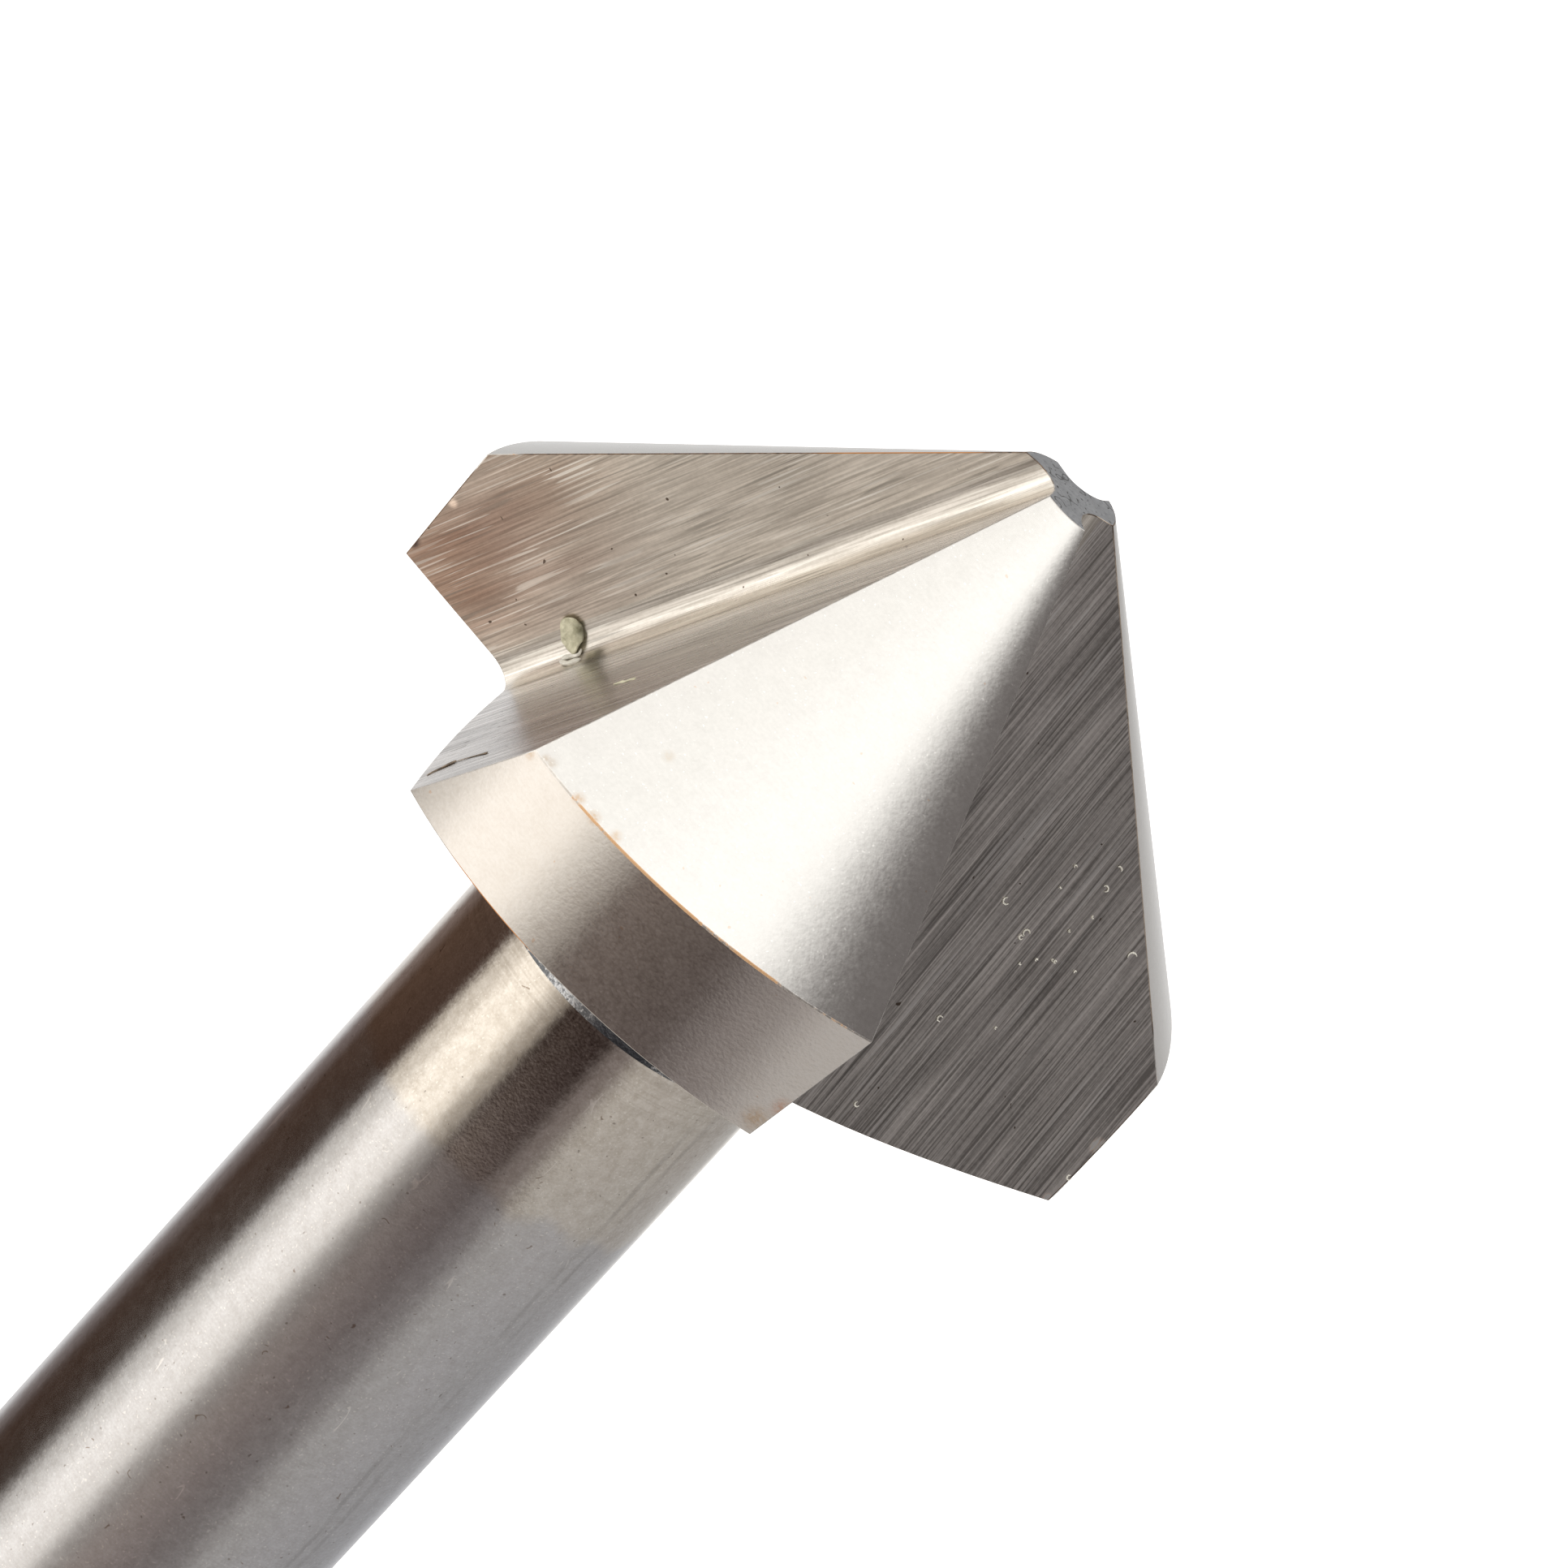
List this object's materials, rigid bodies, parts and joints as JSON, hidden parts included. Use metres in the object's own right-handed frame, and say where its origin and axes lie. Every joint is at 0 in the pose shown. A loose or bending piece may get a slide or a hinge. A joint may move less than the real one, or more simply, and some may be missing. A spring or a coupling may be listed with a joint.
{
  "type": "countersink bit",
  "caption": "Fluted conical countersink with relieved lands, a flat tip and a plain round clamping shank, for chamfering holes.",
  "frame": {"origin": "centre of the shank's end face, on the tool's axis", "axes": "+Z along the tool's axis from the shank's end to the tip, +X towards the side that the first flute slants to"},
  "size_m": [0.0249, 0.0244, 0.067],
  "materials": {
    "tool_steel": "bare ground and milled tool steel, satin, with fine tool marks"
  },
  "bodies": {
    "root": {"countersink_bit": "tool_steel"}
  },
  "joints": []
}
